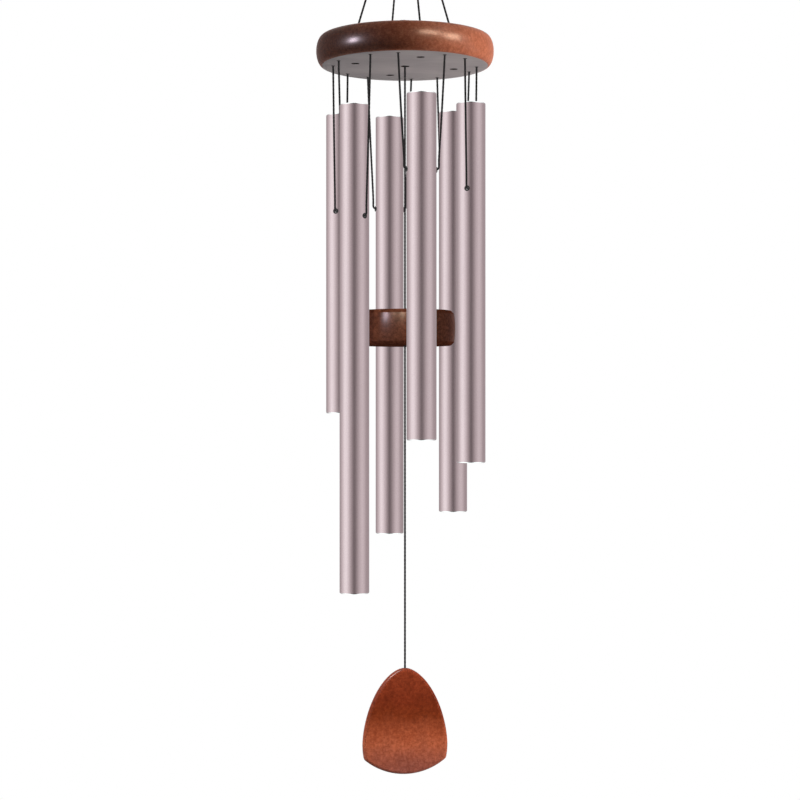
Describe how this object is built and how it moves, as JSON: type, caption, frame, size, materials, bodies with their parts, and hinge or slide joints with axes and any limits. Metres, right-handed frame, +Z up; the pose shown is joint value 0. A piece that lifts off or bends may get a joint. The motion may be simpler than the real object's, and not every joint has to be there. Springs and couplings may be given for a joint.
{
  "type": "wind chime",
  "caption": "Hanging wind chime: turned wood disc on four gathered cords and a ring, metal tubes in a circle, central wood striker and a shield-shaped wood sail.",
  "frame": {"origin": "where a hook touches the hanging ring, at the ring's inner top", "axes": "+Z up, along the hanging chime; -Y is the front"},
  "size_m": [0.1536, 0.1536, 0.8198],
  "materials": {
    "ring_steel": "plated wire, softly polished",
    "disc_wood": "red-brown stain under satin lacquer",
    "striker_wood": "dark brown stain under satin lacquer",
    "sail_wood": "red-brown stain under satin lacquer",
    "tube_aluminium": "pinkish satin metallic coat with a fine speckle",
    "grommet_rubber": "moulded, matt black",
    "cord": "braided black cord"
  },
  "bodies": {
    "ring": {"hanging_ring": "ring_steel"},
    "hanger_link": {"hanger_loop_left": "cord", "hanger_loop_right": "cord", "hanger_lashing": "cord"},
    "canopy": {"top_disc": "disc_wood", "centre_top_knot": "cord", "centre_cord_upper": "cord", "hanger_cord_1": "cord", "hanger_cord_2": "cord", "hanger_cord_3": "cord", "hanger_cord_4": "cord", "hanger_knot_1": "cord", "hanger_knot_2": "cord", "hanger_knot_3": "cord", "hanger_knot_4": "cord", "tube_cord_bridge_1": "cord", "tube_cord_bridge_2": "cord", "tube_cord_bridge_3": "cord", "tube_cord_bridge_4": "cord", "tube_cord_bridge_5": "cord", "tube_cord_bridge_6": "cord"},
    "tube_1_line": {"tube_cord_1": "cord"},
    "tube_1_body": {"tube_1": "tube_aluminium", "grommet_1a": "grommet_rubber", "grommet_1b": "grommet_rubber"},
    "tube_2_line": {"tube_cord_2": "cord"},
    "tube_2_body": {"tube_2": "tube_aluminium", "grommet_2a": "grommet_rubber", "grommet_2b": "grommet_rubber"},
    "tube_3_line": {"tube_cord_3": "cord"},
    "tube_3_body": {"tube_3": "tube_aluminium", "grommet_3a": "grommet_rubber", "grommet_3b": "grommet_rubber"},
    "tube_4_line": {"tube_cord_4": "cord"},
    "tube_4_body": {"tube_4": "tube_aluminium", "grommet_4a": "grommet_rubber", "grommet_4b": "grommet_rubber"},
    "tube_5_line": {"tube_cord_5": "cord"},
    "tube_5_body": {"tube_5": "tube_aluminium", "grommet_5a": "grommet_rubber", "grommet_5b": "grommet_rubber"},
    "tube_6_line": {"tube_cord_6": "cord"},
    "tube_6_body": {"tube_6": "tube_aluminium", "grommet_6a": "grommet_rubber", "grommet_6b": "grommet_rubber"},
    "striker_pivot": {"centre_pivot_knot": "cord"},
    "striker_line": {"striker_cord": "cord", "striker": "striker_wood"},
    "sail_pivot": {"striker_knot": "cord"},
    "sail_line": {"sail_cord": "cord"},
    "sail": {"sail": "sail_wood"}
  },
  "joints": [
    {"name": "chime_swing_front_back", "type": "hinge", "parent": "ring", "child": "hanger_link", "pos_m": [0, 0, -0.0235], "axis": [1, 0, 0], "range_deg": [-8, 8]},
    {"name": "chime_swing_sideways", "type": "hinge", "parent": "hanger_link", "child": "canopy", "pos_m": [0, 0, -0.0406], "axis": [0, 1, 0], "range_deg": [-8, 8]},
    {"name": "tube_1_swing", "type": "hinge", "parent": "canopy", "child": "tube_1_line", "pos_m": [0.01363, -0.0572, -0.205], "axis": [-0.9728, -0.2317, 0], "range_deg": [-0.12, 15]},
    {"name": "tube_1_rock", "type": "hinge", "parent": "tube_1_line", "child": "tube_1_body", "pos_m": [0.01363, -0.0572, -0.3014], "axis": [-0.9728, -0.2317, 0], "range_deg": [-0.12, 6]},
    {"name": "tube_2_swing", "type": "hinge", "parent": "canopy", "child": "tube_2_line", "pos_m": [0.05635, -0.0168, -0.205], "axis": [-0.2857, -0.9583, 0], "range_deg": [-0.12, 15]},
    {"name": "tube_2_rock", "type": "hinge", "parent": "tube_2_line", "child": "tube_2_body", "pos_m": [0.05635, -0.0168, -0.3138], "axis": [-0.2857, -0.9583, 0], "range_deg": [-0.12, 6]},
    {"name": "tube_3_swing", "type": "hinge", "parent": "canopy", "child": "tube_3_line", "pos_m": [0.04272, 0.0404, -0.205], "axis": [0.6871, -0.7266, 0], "range_deg": [-0.12, 15]},
    {"name": "tube_3_rock", "type": "hinge", "parent": "tube_3_line", "child": "tube_3_body", "pos_m": [0.04272, 0.0404, -0.3167], "axis": [0.6871, -0.7266, 0], "range_deg": [-0.12, 6]},
    {"name": "tube_4_swing", "type": "hinge", "parent": "canopy", "child": "tube_4_line", "pos_m": [-0.01363, 0.0572, -0.205], "axis": [0.9728, 0.2317, 0], "range_deg": [-0.12, 15]},
    {"name": "tube_4_rock", "type": "hinge", "parent": "tube_4_line", "child": "tube_4_body", "pos_m": [-0.01363, 0.0572, -0.3226], "axis": [0.9728, 0.2317, 0], "range_deg": [-0.12, 6]},
    {"name": "tube_5_swing", "type": "hinge", "parent": "canopy", "child": "tube_5_line", "pos_m": [-0.05635, 0.0168, -0.205], "axis": [0.2857, 0.9583, 0], "range_deg": [-0.12, 15]},
    {"name": "tube_5_rock", "type": "hinge", "parent": "tube_5_line", "child": "tube_5_body", "pos_m": [-0.05635, 0.0168, -0.3297], "axis": [0.2857, 0.9583, 0], "range_deg": [-0.12, 6]},
    {"name": "tube_6_swing", "type": "hinge", "parent": "canopy", "child": "tube_6_line", "pos_m": [-0.04272, -0.0404, -0.205], "axis": [-0.6871, 0.7266, 0], "range_deg": [-0.12, 15]},
    {"name": "tube_6_rock", "type": "hinge", "parent": "tube_6_line", "child": "tube_6_body", "pos_m": [-0.04272, -0.0404, -0.3393], "axis": [-0.6871, 0.7266, 0], "range_deg": [-0.12, 6]},
    {"name": "striker_swing_front_back", "type": "hinge", "parent": "canopy", "child": "striker_pivot", "pos_m": [0, 0, -0.2018], "axis": [1, 0, 0], "range_deg": [-0.25, 0.25]},
    {"name": "striker_swing_sideways", "type": "hinge", "parent": "striker_pivot", "child": "striker_line", "pos_m": [0, 0, -0.2018], "axis": [0, 1, 0], "range_deg": [-0.25, 0.25]},
    {"name": "sail_swing_front_back", "type": "hinge", "parent": "striker_line", "child": "sail_pivot", "pos_m": [0, 0, -0.44335], "axis": [1, 0, 0], "range_deg": [-8, 8]},
    {"name": "sail_swing_sideways", "type": "hinge", "parent": "sail_pivot", "child": "sail_line", "pos_m": [0, 0, -0.44335], "axis": [0, 1, 0], "range_deg": [-8, 8]},
    {"name": "sail_spin", "type": "hinge", "parent": "sail_line", "child": "sail", "pos_m": [0, 0, -0.7255], "axis": [0, 0, 1], "range_deg": [-90, 90]}
  ]
}
